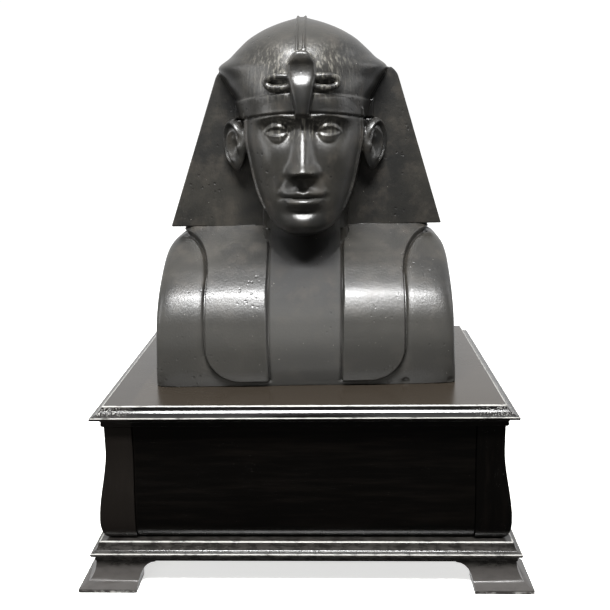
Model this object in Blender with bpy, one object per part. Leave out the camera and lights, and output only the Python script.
"""Bust in an Egyptian nemes headcloth on an ebonised wooden plinth. Metres, Z up, the front faces -Y."""
import math

import bmesh
import bpy
from mathutils import Matrix, Vector

# Joints between touching pieces
JOINT_GAP = 0.0003

# Plinth: the body is the box that every moulding projects from
BODY_WIDTH = 0.3764
BODY_DEPTH = 0.2830
FOOT_HEIGHT = 0.0255
BASE_THICKNESS = 0.0190
CASE_HEIGHT = 0.1130
BOARD_THICKNESS = 0.0210
BOARD_LIP = 0.0118
BOARD_LIP_DROP = 0.0084
BOARD_LIP_HEIGHT = 0.0030
BASE_LIP = 0.0186
BASE_ARRIS = 0.0105
BASE_FILLET = 0.0150
CASE_STEP = 0.0010
CASE_BULGE = 0.0090
BULGE_HEIGHT = 0.0190
WAIST_HEIGHT = 0.0920
STILE_WIDTH = 0.0254
PANEL_SINK = 0.0024
PANEL_THICKNESS = 0.0120
TOE_PROJECTION = 0.0288
TOE_HEIGHT = 0.0040
FOOT_LENGTH = 0.0587
FOOT_CURVE = 0.0165
FOOT_THICKNESS = 0.0200

# Bust: block, headcloth and head, measured from its own foot
BUST_OFFSET = Vector((0.0014, -0.0035, 0.0))
BUST_SKEW = math.tan(math.radians(1.8))
BUST_WIDTH = 0.3016
BUST_DEPTH = 0.1640
CHEST_SWELL = 0.0085
SHOULDER_HEIGHT = 0.1420
CLOTH_EDGE_HEIGHT = 0.1497
WING_PLANE = 0.0010
WING_CROWN = 0.0012
WING_HALF_WIDTH_LOW = 0.1425
WING_HALF_WIDTH_TOP = 0.0900
WING_TOP_HEIGHT = 0.3090
WING_LEAN = 0.0030
WING_ROUNDING = 0.0045
CROWN_LEAN = -0.0012
HOOD_DEPTH = 0.0780
CROWN_HEIGHT = 0.3570
LAPPET_RELIEF = 0.0034
LAPPET_INNER = 0.0375
LAPPET_OUTER = 0.0980
LAPPET_FOOT = 0.0060
LAPPET_CORNER = 0.0350
LAPPET_FLARE = 0.0300
LAPPET_CUT_DEPTH = 0.1330
BAND_HEIGHT = 0.0160
BAND_BOTTOM = 0.2670
BAND_DROP = 0.0060
BAND_RELIEF = 0.0018
CREST_RELIEF = 0.0022
CREST_HALF_WIDTH = 0.0042
COIL_SIDES = 12
COIL_RADIUS = 0.0036
TAB_RADIUS = 0.0022
QUEUE_RADIUS = 0.0150
QUEUE_BOTTOM = 0.0450
QUEUE_TOP = 0.2150

# Head by the usual canon: three and a half equal parts from the crown to the chin
HEAD_HEIGHT = 0.2000
CHIN_HEIGHT = 0.1480
FACE_BREADTH = 0.1240
FACE_DEPTH = 0.0750
PART = HEAD_HEIGHT / 3.5
NOSE_BASE = CHIN_HEIGHT + PART
BROW_LINE = CHIN_HEIGHT + 2 * PART
EYE_LINE = CHIN_HEIGHT + HEAD_HEIGHT / 2
MOUTH_LINE = NOSE_BASE - PART / 3
EYE_WIDTH = FACE_BREADTH / 5
EAR_HEIGHT = PART * 0.92
EAR_SPREAD = math.radians(38)
TAB_ANGLE = 36.0

STONE = ("black_stone", (0.045, 0.043, 0.038), 0.42)
WOOD = ("ebonised_wood", (0.018, 0.013, 0.011), 0.22)


def clear_scene():
    """Empty the scene of its startup objects."""
    for item in list(bpy.context.scene.objects):
        bpy.data.objects.remove(item, do_unlink=True)


def new_collection(name):
    """Add a collection to the scene."""
    made = bpy.data.collections.new(name)
    bpy.context.scene.collection.children.link(made)
    return made


def make_material(name, colour, roughness):
    """Make one Principled material."""
    made = bpy.data.materials.new(name)
    made.use_nodes = True
    shader = made.node_tree.nodes["Principled BSDF"]
    shader.inputs["Base Color"].default_value = (*colour, 1.0)
    shader.inputs["Roughness"].default_value = roughness
    shader.inputs["Metallic"].default_value = 0.0
    return made


def add_object(name, bm, collection, finish=None, smooth=False):
    """Put a bmesh into the scene as a named object with its own material."""
    bmesh.ops.recalc_face_normals(bm, faces=bm.faces[:])
    mesh = bpy.data.meshes.new(name)
    bm.to_mesh(mesh)
    bm.free()
    made = bpy.data.objects.new(name, mesh)
    collection.objects.link(made)
    if finish:
        slot, colour, roughness = finish
        mesh.materials.append(make_material(slot + "_" + name, colour, roughness))
    else:
        made.hide_render = True
        made.display_type = "WIRE"
    if smooth:
        mesh.polygons.foreach_set("use_smooth", [True] * len(mesh.polygons))
    return made


def combine(target, tool, operation):
    """Boolean another solid into the target."""
    step = target.modifiers.new(operation.lower() + "_" + tool.name, "BOOLEAN")
    step.operation = operation
    step.solver = "EXACT"
    step.object = tool
    return target


def ease(value, low, high):
    """Rise smoothly from 0 at low to 1 at high."""
    share = min(1.0, max(0.0, (value - low) / (high - low)))
    return share * share * (3 - 2 * share)


def along(stops, place):
    """Read a smooth curve through a few (place, value) stops."""
    places = [stop[0] for stop in stops]
    values = [stop[1] for stop in stops]
    if place <= places[0]:
        return values[0]
    if place >= places[-1]:
        return values[-1]
    span = next(i for i in range(len(stops) - 1) if place <= places[i + 1])

    def slope(i):
        if i in (0, len(stops) - 1):
            j = min(i, len(stops) - 2)
            return (values[j + 1] - values[j]) / (places[j + 1] - places[j])
        before = (values[i] - values[i - 1]) / (places[i] - places[i - 1])
        after = (values[i + 1] - values[i]) / (places[i + 1] - places[i])
        return 0.0 if before * after <= 0 else 2 * before * after / (before + after)

    width = places[span + 1] - places[span]
    t = (place - places[span]) / width
    return ((1 + 2 * t) * (1 - t) ** 2 * values[span] + t * (1 - t) ** 2 * width * slope(span)
            + t * t * (3 - 2 * t) * values[span + 1] + t * t * (t - 1) * width * slope(span + 1))


def spaced(low, high, count):
    """Divide a height into equal levels."""
    return [low + (high - low) * i / count for i in range(count + 1)]


def power(value, exponent):
    """Raise the size of a signed number to a power."""
    return math.copysign(abs(value) ** exponent, value)


def sliced_cube(levels):
    """A unit-square box cut into layers at the given heights."""
    bm = bmesh.new()
    height = levels[-1] - levels[0]
    place = Matrix.Translation((0, 0, levels[0] + height / 2)) @ Matrix.Diagonal((2, 2, height, 1))
    bmesh.ops.create_cube(bm, size=1.0, matrix=place)
    for level in levels[1:-1]:
        everything = bm.verts[:] + bm.edges[:] + bm.faces[:]
        bmesh.ops.bisect_plane(bm, geom=everything, plane_co=(0, 0, level), plane_no=(0, 0, 1))
    return bm


def column(levels, segments, section):
    """A capped cylinder in layers, each point moved to where section(angle, height) puts it."""
    bm = bmesh.new()
    height = levels[-1] - levels[0]
    bmesh.ops.create_cone(bm, cap_ends=True, segments=segments, radius1=1.0, radius2=1.0, depth=height,
                          matrix=Matrix.Translation((0, 0, levels[0] + height / 2)))
    for level in levels[1:-1]:
        everything = bm.verts[:] + bm.edges[:] + bm.faces[:]
        bmesh.ops.bisect_plane(bm, geom=everything, plane_co=(0, 0, level), plane_no=(0, 0, 1))
    for vert in bm.verts:
        vert.co = section(math.atan2(vert.co.y, vert.co.x), vert.co.z)
    return bm


def outline_prism(name, points, half_depth, place, collection):
    """A flat outline, extruded both ways and turned into a mesh."""
    curve = bpy.data.curves.new(name, "CURVE")
    curve.dimensions = "2D"
    curve.fill_mode = "BOTH"
    curve.extrude = half_depth
    spline = curve.splines.new("POLY")
    spline.points.add(len(points) - 1)
    for point, (x, y) in zip(spline.points, points):
        point.co = (x, y, 0.0, 1.0)
    spline.use_cyclic_u = True
    return curve_solid(name, curve, place, collection)


def curve_solid(name, curve, place, collection):
    """Turn a curve into a welded mesh object in the given place."""
    holder = bpy.data.objects.new(name + "_curve", curve)
    collection.objects.link(holder)
    bpy.context.view_layer.update()
    graph = bpy.context.evaluated_depsgraph_get()
    mesh = bpy.data.meshes.new_from_object(holder.evaluated_get(graph))
    bpy.data.objects.remove(holder, do_unlink=True)
    bm = bmesh.new()
    bm.from_mesh(mesh)
    bpy.data.meshes.remove(mesh)
    bmesh.ops.remove_doubles(bm, verts=bm.verts[:], dist=0.00001)
    bmesh.ops.transform(bm, matrix=place, verts=bm.verts[:])
    return add_object(name, bm, collection)


def tube(name, points, radius, closed, collection, resolution=1):
    """A round rod along a line of points."""
    curve = bpy.data.curves.new(name, "CURVE")
    curve.dimensions = "3D"
    curve.bevel_depth = radius
    curve.bevel_resolution = resolution
    curve.use_fill_caps = not closed
    spline = curve.splines.new("POLY")
    spline.points.add(len(points) - 1)
    for point, place in zip(spline.points, points):
        point.co = (*place, 1.0)
    spline.use_cyclic_u = closed
    return curve_solid(name, curve, Matrix.Identity(4), collection)


# Plinth

def board_profile(top):
    """Projection and height up the edge of the top board."""
    lip = top - BOARD_LIP_DROP
    under = lip - BOARD_LIP_HEIGHT
    return [
        (CASE_STEP, top - BOARD_THICKNESS),
        (CASE_STEP + 0.0020, top - BOARD_THICKNESS + 0.0008),
        (CASE_STEP + 0.0026, top - BOARD_THICKNESS + 0.0030),
        (CASE_STEP + 0.0020, top - BOARD_THICKNESS + 0.0052),
        (BOARD_LIP * 0.45, under - 0.0012),
        (BOARD_LIP - 0.0006, under),
        (BOARD_LIP, under + 0.0006),
        (BOARD_LIP, lip - 0.0004),
        (BOARD_LIP - 0.0010, lip),
        (BOARD_LIP * 0.62, lip + 0.0024),
        (BOARD_LIP * 0.40, lip + 0.0048),
        (BOARD_LIP * 0.22, top - 0.0010),
        (0.0008, top - 0.0001),
        (0.0, top),
    ]


def base_profile(bottom):
    """Projection and height up the edge of the base board."""
    lip = bottom + 0.0062
    top = bottom + BASE_THICKNESS
    return [
        (BASE_FILLET - 0.0010, bottom),
        (BASE_FILLET, bottom + 0.0010),
        (BASE_FILLET, lip - 0.0008),
        (BASE_LIP - 0.0004, lip),
        (BASE_LIP, lip + 0.0006),
        (BASE_LIP, lip + 0.0026),
        (BASE_LIP - 0.0008, lip + 0.0032),
        (BASE_LIP - 0.0044, lip + 0.0046),
        (BASE_ARRIS + 0.0016, lip + 0.0078),
        (BASE_ARRIS + 0.0012, top - 0.0020),
        (BASE_ARRIS, top - 0.0003),
        (0.0, top),
    ]


def case_projection(height):
    """Ogee of the case, from its foot up: a rounded foot, a bulge and a waist."""
    if height < BULGE_HEIGHT:
        share = min(1.0, 1 - height / BULGE_HEIGHT)
        return CASE_STEP + 0.0005 + (CASE_BULGE - CASE_STEP - 0.0005) * math.sqrt(1 - share * share)
    return CASE_BULGE + (CASE_STEP - CASE_BULGE) * ease(height, BULGE_HEIGHT, WAIST_HEIGHT)


def case_levels(bottom):
    """Heights at which the ogee is cut, closer together round its foot."""
    foot = [BULGE_HEIGHT * (1 - math.cos(math.pi / 2 * i / 5)) for i in range(5)]
    rise = spaced(BULGE_HEIGHT, WAIST_HEIGHT, 8)
    return [bottom + h for h in foot + rise] + [bottom + CASE_HEIGHT]


def foot_projection(height):
    """Hollow flare of a foot over its thin toe."""
    share = min(1.0, max(0.0, (height - TOE_HEIGHT) / (FOOT_HEIGHT - TOE_HEIGHT)))
    flare = 1 - math.sqrt(1 - (1 - share) ** 2)
    return BASE_FILLET - 0.0010 + (TOE_PROJECTION - BASE_FILLET + 0.0010) * flare


def ringed_board(name, profile, collection):
    """A board with one moulding run round all four sides."""
    bm = sliced_cube([height for _, height in profile])
    for vert in bm.verts:
        out = min(profile, key=lambda stop: abs(stop[1] - vert.co.z))[0]
        vert.co.x = math.copysign(BODY_WIDTH / 2 + out, vert.co.x)
        vert.co.y = math.copysign(BODY_DEPTH / 2 + out, vert.co.y)
    return add_object(name, bm, collection, WOOD)


def case_piece(name, levels, bottom, span_x, span_y, outer_x, outer_y, sink, collection):
    """An upright piece of the case whose outer sides follow the ogee."""
    bm = sliced_cube(levels)
    for vert in bm.verts:
        out = case_projection(vert.co.z - bottom) - sink
        x = span_x[0] if vert.co.x < 0 else span_x[1]
        y = span_y[0] if vert.co.y < 0 else span_y[1]
        if outer_x and x * outer_x > 0 and abs(x) == max(abs(span_x[0]), abs(span_x[1])):
            x = outer_x * (BODY_WIDTH / 2 + out)
        if outer_y and y * outer_y > 0 and abs(y) == max(abs(span_y[0]), abs(span_y[1])):
            y = outer_y * (BODY_DEPTH / 2 + out)
        vert.co.x = x
        vert.co.y = y
    return add_object(name, bm, collection, WOOD)


def make_case(bottom, collection):
    """Four corner posts and four sunk panels round a hollow."""
    levels = case_levels(bottom)
    inner_x = BODY_WIDTH / 2 - STILE_WIDTH
    inner_y = BODY_DEPTH / 2 - STILE_WIDTH
    edge_x = BODY_WIDTH / 2
    edge_y = BODY_DEPTH / 2
    for side_y, word_y in ((-1, "front"), (1, "back")):
        for side_x, word_x in ((-1, "left"), (1, "right")):
            span_x = sorted((side_x * inner_x, side_x * edge_x))
            span_y = sorted((side_y * inner_y, side_y * edge_y))
            case_piece("corner_post_" + word_y + "_" + word_x, levels, bottom, span_x, span_y,
                       side_x, side_y, 0.0, collection)
    reach_x = inner_x - JOINT_GAP
    reach_y = inner_y - JOINT_GAP
    for side, word in ((-1, "front"), (1, "back")):
        span = sorted((side * (edge_y - PANEL_THICKNESS), side * edge_y))
        case_piece(word + "_panel", levels, bottom, (-reach_x, reach_x), span, 0, side, PANEL_SINK, collection)
    for side, word in ((-1, "left"), (1, "right")):
        span = sorted((side * (edge_x - PANEL_THICKNESS), side * edge_x))
        case_piece(word + "_panel", levels, bottom, span, (-reach_y, reach_y), side, 0, PANEL_SINK, collection)


def bracket_curve(outer):
    """Outline, across and up, of the space cut beside a foot's bracket."""
    foot = outer - (TOE_PROJECTION - BASE_FILLET) - FOOT_LENGTH + FOOT_CURVE
    points = [(foot, -0.01)]
    for i in range(7):
        turn = math.pi / 2 * i / 6
        rise = FOOT_HEIGHT * 0.86 * math.sin(turn)
        points.append((foot - FOOT_CURVE * (1 - math.cos(turn)), FOOT_HEIGHT * 0.12 + rise))
    points.append((foot - FOOT_CURVE, FOOT_HEIGHT + 0.01))
    points.append((0.0, FOOT_HEIGHT + 0.01))
    points.append((0.0, -0.01))
    return points


def make_foot(word_y, word_x, side_y, side_x, collection, cutters):
    """A bracket foot: a flared corner with two mitred legs and a curved inner end on each."""
    name = "foot_" + word_y + "_" + word_x
    levels = [0.0, TOE_HEIGHT * 0.15, TOE_HEIGHT] + spaced(TOE_HEIGHT, FOOT_HEIGHT, 6)[1:]
    inner_x = BODY_WIDTH / 2 + BASE_FILLET - FOOT_LENGTH
    inner_y = BODY_DEPTH / 2 + BASE_FILLET - FOOT_LENGTH
    bm = sliced_cube(levels)
    for vert in bm.verts:
        out = foot_projection(vert.co.z)
        if vert.co.z < TOE_HEIGHT * 0.1:
            out -= TOE_HEIGHT * 0.15
        vert.co.x = side_x * (inner_x if vert.co.x < 0 else BODY_WIDTH / 2 + out)
        vert.co.y = side_y * (inner_y if vert.co.y < 0 else BODY_DEPTH / 2 + out)
    foot = add_object(name, bm, collection, WOOD)

    corner_x = BODY_WIDTH / 2 + BASE_FILLET - FOOT_THICKNESS
    corner_y = BODY_DEPTH / 2 + BASE_FILLET - FOOT_THICKNESS
    hollow = bmesh.new()
    bmesh.ops.create_cube(hollow, size=1.0, matrix=Matrix.Diagonal((corner_x, corner_y, 0.1, 1)))
    bmesh.ops.translate(hollow, vec=(side_x * corner_x / 2, side_y * corner_y / 2, 0), verts=hollow.verts[:])
    combine(foot, add_object(name + "_hollow", hollow, cutters), "DIFFERENCE")

    upright = Matrix(((side_x, 0, 0, 0), (0, 0, -1, 0), (0, 1, 0, 0), (0, 0, 0, 1)))
    sideways = Matrix(((0, 0, 1, 0), (side_y, 0, 0, 0), (0, 1, 0, 0), (0, 0, 0, 1)))
    widths = ((BODY_WIDTH / 2 + TOE_PROJECTION, upright, "_front_cut"),
              (BODY_DEPTH / 2 + TOE_PROJECTION, sideways, "_side_cut"))
    for outer, place, word in widths:
        cut = outline_prism(name + word, bracket_curve(outer), BODY_WIDTH, place, cutters)
        combine(foot, cut, "DIFFERENCE")


def make_plinth(collection, cutters):
    """Feet, base board, case and top board. Returns the height of its top."""
    for side_y, word_y in ((-1, "front"), (1, "back")):
        for side_x, word_x in ((-1, "left"), (1, "right")):
            make_foot(word_y, word_x, side_y, side_x, collection, cutters)
    base_bottom = FOOT_HEIGHT + JOINT_GAP
    ringed_board("base_board", base_profile(base_bottom), collection)
    case_bottom = base_bottom + BASE_THICKNESS + JOINT_GAP
    make_case(case_bottom, collection)
    top = case_bottom + CASE_HEIGHT + JOINT_GAP + BOARD_THICKNESS
    ringed_board("top_board", board_profile(top), collection)
    return top


# Bust

def chest_section(grow):
    """Horizontal sections of the block-cut chest and shoulders, grown outward by a relief."""
    half = BUST_WIDTH / 2
    deep = BUST_DEPTH / 2
    widths = [(0.0, half), (0.042, half - 0.0028), (0.090, half - 0.0040), (0.117, half - 0.0048),
              (0.127, half - 0.0064), (0.1325, half - 0.0092), (0.1375, half - 0.0135), (0.1405, half - 0.0180),
              (SHOULDER_HEIGHT, half - 0.0220), (0.152, half - 0.0260)]
    fronts = [(0.0, deep), (0.020, deep + CHEST_SWELL * 0.72), (0.042, deep + CHEST_SWELL),
              (0.065, deep + CHEST_SWELL * 0.62), (0.088, deep - 0.0050), (0.110, deep - 0.0270),
              (0.130, deep - 0.0550), (0.152, deep - 0.0870)]
    backs = [(0.0, deep), (0.085, deep), (0.120, deep - 0.0080), (0.152, deep - 0.0260)]

    def section(angle, height):
        front = -along(fronts, height) - grow
        back = along(backs, height) + grow
        middle = (front + back) / 2
        square = 2 / (24 - 18 * ease(height, 0.05, 0.14))
        x = (along(widths, height) + grow) * power(math.cos(angle), square)
        y = middle + (back - front) / 2 * power(math.sin(angle), square)
        return Vector((x, y, height))
    return section


def chest_levels():
    """Heights of the chest's layers, closer where it rounds over."""
    return spaced(0.0, 0.045, 3) + spaced(0.045, 0.125, 7)[1:] + [0.130, 0.134, 0.1375, 0.140, 0.142, 0.152]


def lappet_outline():
    """Front outline of one lappet, from its inner foot round to the tip of the wing."""
    centre = LAPPET_OUTER - LAPPET_CORNER
    points = [(LAPPET_INNER, LAPPET_FOOT)]
    for i in range(7):
        turn = math.pi / 2 * i / 6
        points.append((centre + LAPPET_CORNER * math.sin(turn),
                       LAPPET_FOOT + LAPPET_CORNER * (1 - math.cos(turn))))
    for i in range(6):
        turn = math.pi / 2 * i / 5
        points.append((LAPPET_OUTER + LAPPET_FLARE * (1 - math.cos(turn)),
                       CLOTH_EDGE_HEIGHT - 0.0060 - LAPPET_FLARE * 1.25 * (1 - math.sin(turn))))
    points.append((WING_HALF_WIDTH_LOW - 0.006, CLOTH_EDGE_HEIGHT + 0.002))
    points.append((LAPPET_INNER + 0.001, CLOTH_EDGE_HEIGHT + 0.002))
    return points


def wing_half_width(height):
    """Half width of the headcloth's wings, straight from tip to top."""
    share = (height - CLOTH_EDGE_HEIGHT) / (WING_TOP_HEIGHT - CLOTH_EDGE_HEIGHT)
    rounding = WING_ROUNDING * max(0.0, 1 - (WING_TOP_HEIGHT - height) / (2 * WING_ROUNDING)) ** 2
    return -rounding + WING_HALF_WIDTH_LOW + (WING_HALF_WIDTH_TOP - WING_HALF_WIDTH_LOW) * share


def hood_section(angle, height):
    """D-shaped section of the wings and the back of the headcloth, nearly flat in front."""
    half = wing_half_width(height)
    low = 1 - ease(height, CLOTH_EDGE_HEIGHT, CLOTH_EDGE_HEIGHT + 0.05)
    high = ease(height, WING_TOP_HEIGHT - 0.09, WING_TOP_HEIGHT)
    depth = HOOD_DEPTH - 0.008 * low - 0.0065 * high
    rise = math.sin(angle)
    away = depth * rise ** 0.8 if rise > 0 else WING_CROWN * rise
    lean = WING_LEAN * (height - CLOTH_EDGE_HEIGHT) / (WING_TOP_HEIGHT - CLOTH_EDGE_HEIGHT)
    return Vector((half * math.cos(angle) + lean, WING_PLANE + away, height))


def crown_section(grow, drop):
    """Sections of the cloth over the skull, from the headband to the crown."""
    widths = [(BAND_BOTTOM, 0.0628), (0.283, 0.0670), (0.297, 0.0765), (WING_TOP_HEIGHT, 0.0850),
              (0.3200, 0.0720), (0.3340, 0.0570), (0.3440, 0.0410), (0.3515, 0.0230), (CROWN_HEIGHT, 0.0060)]
    fronts = [(BAND_BOTTOM, 0.0765), (0.300, 0.0745), (0.3200, 0.0665), (0.3340, 0.0550), (0.3440, 0.0410),
              (0.3515, 0.0245), (CROWN_HEIGHT, 0.0060)]
    backs = [(BAND_BOTTOM, 0.0700), (0.300, 0.0760), (0.3200, 0.0700), (0.3340, 0.0580), (0.3440, 0.0430),
             (0.3515, 0.0250), (CROWN_HEIGHT, 0.0060)]

    def section(angle, height):
        front = math.sin(angle) < 0
        depth = along(fronts if front else backs, height) + grow
        pinch = 1 + 0.16 * ease(height, 0.283, 0.305) * (1 - ease(height, 0.312, 0.335))
        exponent = pinch if front else 1.0
        x = CROWN_LEAN + (along(widths, height) + grow) * power(math.cos(angle), exponent)
        y = WING_PLANE + depth * power(math.sin(angle), exponent)
        fall = drop * math.cos(angle) ** 2 * (1 - ease(height, 0.283, 0.309))
        return Vector((x, y, height - fall))
    return section


def crown_levels():
    """Heights of the crown's layers, closer towards the top."""
    return [BAND_BOTTOM, 0.276, 0.2850, 0.292, 0.300, 0.309, 0.3145, 0.320, 0.327, 0.334,
            0.3395, 0.344, 0.348, 0.3515, 0.3548, CROWN_HEIGHT]


def bump(across, up, centre, spread, height):
    """A soft mound of a given height at a place on the face."""
    return height * math.exp(-((across - centre[0]) / spread[0]) ** 2 - ((up - centre[1]) / spread[1]) ** 2)


def face_relief(x, z):
    """How far the features stand out from the plain oval of the face."""
    across = abs(x)
    eye = (EYE_WIDTH, EYE_LINE)
    wing = EYE_WIDTH / 2
    tip = NOSE_BASE + PART * 0.10
    root = EYE_LINE + PART * 0.04
    run = min(1.0, max(0.0, (root - z) / (root - tip)))
    ridge = 0.0022 + 0.0165 * run ** 1.15
    ridge *= ease(z, NOSE_BASE - 0.0015, tip - 0.0005) if z < tip else 1.0
    ridge *= math.exp(-((z - root) / 0.011) ** 2) if z > root else 1.0
    relief = ridge * math.exp(-abs(across / (0.0062 + 0.0040 * run)) ** 2.3)
    relief += bump(across, z, (wing * 0.80, NOSE_BASE + PART * 0.08), (0.0050, 0.0055), 0.0078)
    relief += bump(across, z, (eye[0] * 0.96, eye[1] - 0.0005), (0.0140, 0.0100), -0.0070)
    relief += bump(across, z, (wing * 0.85, eye[1] + 0.0015), (0.0055, 0.0085), -0.0030)
    ball = 0.0128 ** 2 - (across - eye[0]) ** 2 - (z - eye[1] + 0.0005) ** 2
    relief += max(0.0, math.sqrt(max(0.0, ball)) - 0.0070)
    brow = BROW_LINE - 0.0035 + 0.0040 * math.exp(-((across - 0.024) / 0.015) ** 2)
    fade = ease(across, 0.001, 0.010) * (1 - ease(across, 0.040, 0.052))
    relief += 0.0026 * fade * math.exp(-((z - brow) / 0.0036) ** 2)
    half_mouth = EYE_WIDTH * 0.86
    upper = max(0.0, 1 - (across / half_mouth) ** 2) ** 0.7
    lower = max(0.0, 1 - (across / (half_mouth * 0.84)) ** 2) ** 0.7
    relief += 0.0042 * upper * math.exp(-((z - MOUTH_LINE - 0.0040) / 0.0034) ** 2)
    relief += 0.0048 * lower * math.exp(-((z - MOUTH_LINE + 0.0050) / 0.0040) ** 2)
    relief -= 0.0030 * upper * math.exp(-((z - MOUTH_LINE) / 0.0012) ** 2)
    relief += bump(across, z, (0.0, MOUTH_LINE + 0.003), (0.021, 0.014), 0.0040)
    relief += bump(across, z, (0.0, MOUTH_LINE - 0.0145), (0.015, 0.0040), -0.0026)
    relief += bump(across, z, (0.0, CHIN_HEIGHT + 0.0130), (0.016, 0.0100), 0.0042)
    relief += bump(across, z, (0.037, NOSE_BASE + 0.0165), (0.016, 0.018), 0.0026)
    return relief


def head_section(angle, height):
    """Sections of the head from the chin up, with the features on the front."""
    half = FACE_BREADTH / 2
    chin = CHIN_HEIGHT
    widths = [(chin, 0.010), (chin + 0.004, 0.0215), (chin + 0.012, 0.0320), (chin + 0.026, 0.0420),
              (chin + 0.045, half * 0.82), (chin + 0.070, half * 0.92), (chin + 0.098, half),
              (chin + 0.150, half * 0.94)]
    fronts = [(chin, 0.0650), (chin + 0.004, 0.0715), (chin + 0.012, 0.0755), (chin + 0.040, 0.0755),
              (chin + 0.075, 0.0735), (chin + 0.100, 0.0715), (chin + 0.120, FACE_DEPTH), (chin + 0.150, 0.072)]
    middles = [(chin, 0.0520), (chin + 0.012, 0.0400), (chin + 0.030, 0.0220), (chin + 0.055, 0.0060),
               (chin + 0.080, 0.0)]
    backs = [(chin, -0.0420), (chin + 0.012, -0.0220), (chin + 0.030, 0.0040), (chin + 0.055, 0.0300),
             (chin + 0.080, 0.0450)]
    turn = angle + 0.42 * math.sin(angle - math.pi / 2) * math.cos(angle - math.pi / 2)
    side = math.cos(turn)
    ahead = math.sin(turn)
    middle = -along(middles, height)
    if ahead >= 0:
        reach = along(backs, height) - middle
        return Vector((along(widths, height) * side, middle + reach * ahead, height))
    x = along(widths, height) * power(side, 0.90)
    reach = -along(fronts, height) - middle
    y = middle + reach * power(-ahead, 0.90)
    y -= face_relief(x, height) * ease(-ahead, 0.05, 0.45) * ease(height, chin, chin + 0.006)
    return Vector((x, y, height))


def head_levels():
    """Heights of the face's layers, closer at the mouth, nose and eyes."""
    chin = CHIN_HEIGHT
    return ([chin, chin + 0.002, chin + 0.005, chin + 0.009, chin + 0.014, chin + 0.019, chin + 0.0235]
            + spaced(MOUTH_LINE - 0.0105, MOUTH_LINE + 0.0075, 9)
            + [NOSE_BASE - 0.006, NOSE_BASE - 0.0015, NOSE_BASE + 0.001, NOSE_BASE + 0.0035, NOSE_BASE + 0.006,
               NOSE_BASE + 0.010, NOSE_BASE + 0.016, NOSE_BASE + 0.022, NOSE_BASE + 0.028]
            + spaced(EYE_LINE - 0.0105, BROW_LINE + 0.006, 9) + [0.278])


def ball(name, place, collection, u_segments=12, v_segments=8):
    """A sphere of radius one, stretched and placed by a matrix."""
    bm = bmesh.new()
    bmesh.ops.create_uvsphere(bm, u_segments=u_segments, v_segments=v_segments, radius=1.0, matrix=place)
    return add_object(name, bm, collection)


def make_ear(side, word, collection):
    """A dished oval plate standing out from the side of the head."""
    centre = Vector((side * (FACE_BREADTH / 2 + 0.0085), -0.0110, (BROW_LINE + NOSE_BASE) / 2))
    turn = Matrix.Rotation(-side * EAR_SPREAD, 4, "Z") @ Matrix.Rotation(math.radians(-8), 4, "X")
    place = Matrix.Translation(centre) @ turn
    ear = ball("ear_" + word, place @ Matrix.Diagonal((0.0065, 0.0165, EAR_HEIGHT / 2, 1)), collection)
    dish = Matrix.Translation((side * 0.0088, -0.0010, 0.0030)) @ Matrix.Diagonal((0.0055, 0.0100, 0.0170, 1))
    combine(ear, ball("ear_dish_" + word, place @ dish, collection, 10, 6), "DIFFERENCE")
    return ear


def uraeus_section(angle, height):
    """Sections of the cobra's spread hood on the forehead."""
    widths = [(0.2610, 0.0068), (0.2700, 0.0078), (0.2850, 0.0108), (0.3000, 0.0134), (0.3100, 0.0124),
              (0.3170, 0.0088), (0.3215, 0.0030)]
    fronts = [(0.2610, 0.0790), (0.2670, 0.0850), (0.2760, 0.0858), (0.2980, 0.0820), (0.3070, 0.0822),
              (0.3160, 0.0846), (0.3215, 0.0770)]
    x = along(widths, height) * math.cos(angle)
    front = -along(fronts, height)
    back = -0.0600
    y = (front + back) / 2 + (back - front) / 2 * power(math.sin(angle), 0.6)
    return Vector((x, y, height))


def coil_points(side):
    """The cobra's body, one flat loop at each side of its hood."""
    points = []
    for i in range(COIL_SIDES):
        turn = 2 * math.pi * i / COIL_SIDES
        x = 0.0213 + 0.0128 * power(math.cos(turn), 0.7)
        z = 0.2930 + 0.0052 * power(math.sin(turn), 0.9)
        y = WING_PLANE - 0.0750 * math.sqrt(1 - (x / 0.078) ** 2) - 0.0012
        points.append((side * x, y, z))
    return points


def tab_points(side):
    """The cloth's raised edge beside the face, from the band down to the jaw, half sunk in the cheek."""
    facing = math.radians(-TAB_ANGLE if side > 0 else TAB_ANGLE - 180)
    heights = spaced(CHIN_HEIGHT + PART * 0.42, BAND_BOTTOM + 0.002, 8)
    return [head_section(facing, z) for z in heights]


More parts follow.
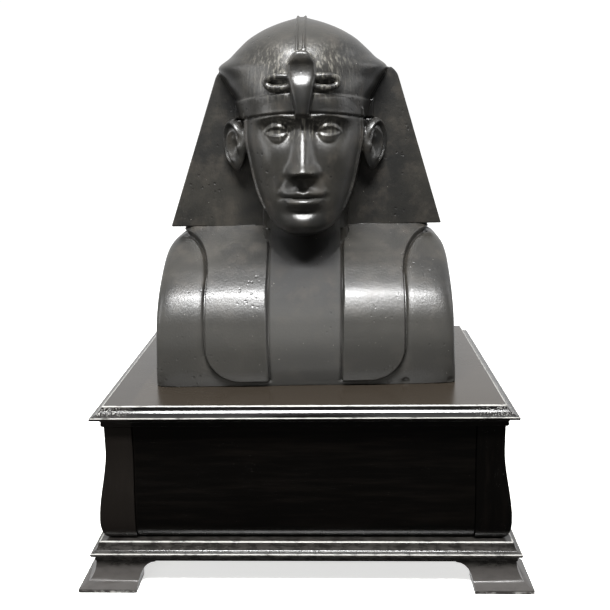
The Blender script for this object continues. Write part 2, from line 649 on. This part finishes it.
def make_bust(level, collection, cutters):
    """The whole bust as one solid, standing at the given height."""
    bust = add_object("bust", column(chest_levels(), 48, chest_section(0.0)), collection, STONE, smooth=True)
    bust.location = BUST_OFFSET + Vector((0, 0, level + JOINT_GAP))

    forms = []
    for side, word in ((-1, "left"), (1, "right")):
        lappet = add_object("lappet_" + word, column(chest_levels(), 48, chest_section(LAPPET_RELIEF)), cutters)
        place = Matrix(((side, 0, 0, 0), (0, 0, 1, -0.1), (0, 1, 0, 0), (0, 0, 0, 1)))
        outline = outline_prism("lappet_outline_" + word, lappet_outline(), LAPPET_CUT_DEPTH, place, cutters)
        combine(lappet, outline, "INTERSECT")
        forms.append((lappet, outline))
    hood_levels = spaced(CLOTH_EDGE_HEIGHT, WING_TOP_HEIGHT - 2 * WING_ROUNDING, 5)
    hood_levels += [WING_TOP_HEIGHT - WING_ROUNDING, WING_TOP_HEIGHT]
    hood = column(hood_levels, 40, hood_section)
    forms.append((add_object("hood", hood, cutters),))

    def neck_section(angle, height):
        widen = 0.012 * (1 - ease(height, 0.11, 0.16))
        return Vector(((0.044 + widen) * math.cos(angle), 0.004 + (0.050 + widen) * math.sin(angle), height))
    forms.append((add_object("neck", column([0.09, 0.13, 0.16, 0.20], 24, neck_section), cutters),))
    forms.append((add_object("head", column(head_levels(), 56, head_section), cutters),))
    forms.append((add_object("crown", column(crown_levels(), 40, crown_section(0.0, BAND_DROP)), cutters),))
    band = column([BAND_BOTTOM - 0.0006, BAND_BOTTOM + BAND_HEIGHT / 2, BAND_BOTTOM + BAND_HEIGHT], 40,
                  crown_section(BAND_RELIEF, BAND_DROP))
    forms.append((add_object("band", band, cutters),))

    crest_levels = crown_levels()[7:-2] + [CROWN_HEIGHT - 0.0007, CROWN_HEIGHT + CREST_RELIEF]
    crest = add_object("crest", column(crest_levels, 40, crown_section(CREST_RELIEF, 0.0)), cutters)
    slab = bmesh.new()
    bmesh.ops.create_cube(slab, size=1.0, matrix=Matrix.Translation((0, 0, 0.345))
                          @ Matrix.Diagonal((2 * CREST_HALF_WIDTH, 0.2, 0.060, 1)))
    slab_object = add_object("crest_slab", slab, cutters)
    combine(crest, slab_object, "INTERSECT")
    forms.append((crest, slab_object))

    uraeus_levels = [0.2610, 0.264, 0.267, 0.276, 0.288, 0.298, 0.305, 0.311, 0.3155, 0.319, 0.3215]
    uraeus = column(uraeus_levels, 16, uraeus_section)
    forms.append((add_object("uraeus", uraeus, cutters),))
    for side, word in ((-1, "left"), (1, "right")):
        forms.append((tube("coil_" + word, coil_points(side), COIL_RADIUS, True, cutters),))
        forms.append((tube("tab_" + word, tab_points(side), TAB_RADIUS, False, cutters),))
        forms.append((make_ear(side, word, cutters),))

    def queue_section(angle, height):
        radius = QUEUE_RADIUS * (1.05 - 0.30 * ease(height, QUEUE_BOTTOM, QUEUE_TOP))
        centre = BUST_DEPTH / 2 - 0.0120 - 0.0260 * ease(height, 0.135, QUEUE_TOP)
        return Vector((radius * math.cos(angle), centre + 0.0190 * power(math.sin(angle), 0.8), height))
    queue_levels = [QUEUE_BOTTOM, 0.090] + spaced(0.135, QUEUE_TOP, 4)
    forms.append((add_object("queue", column(queue_levels, 16, queue_section), cutters),))

    for parts in forms:
        combine(bust, parts[0], "UNION")
    skew = Matrix(((1, 0, 0, 0), (BUST_SKEW, 1, 0, 0), (0, 0, 1, 0), (0, 0, 0, 1)))
    bust.data.transform(skew)
    for tool in cutters.objects:
        if not tool.name.startswith("foot"):
            tool.data.transform(skew)
            tool.parent = bust
    return bust


def build():
    """Make every piece."""
    clear_scene()
    parts = new_collection("pharaoh_bust")
    cutters = new_collection("cutters")
    top = make_plinth(parts, cutters)
    make_bust(top, parts, cutters)


build()
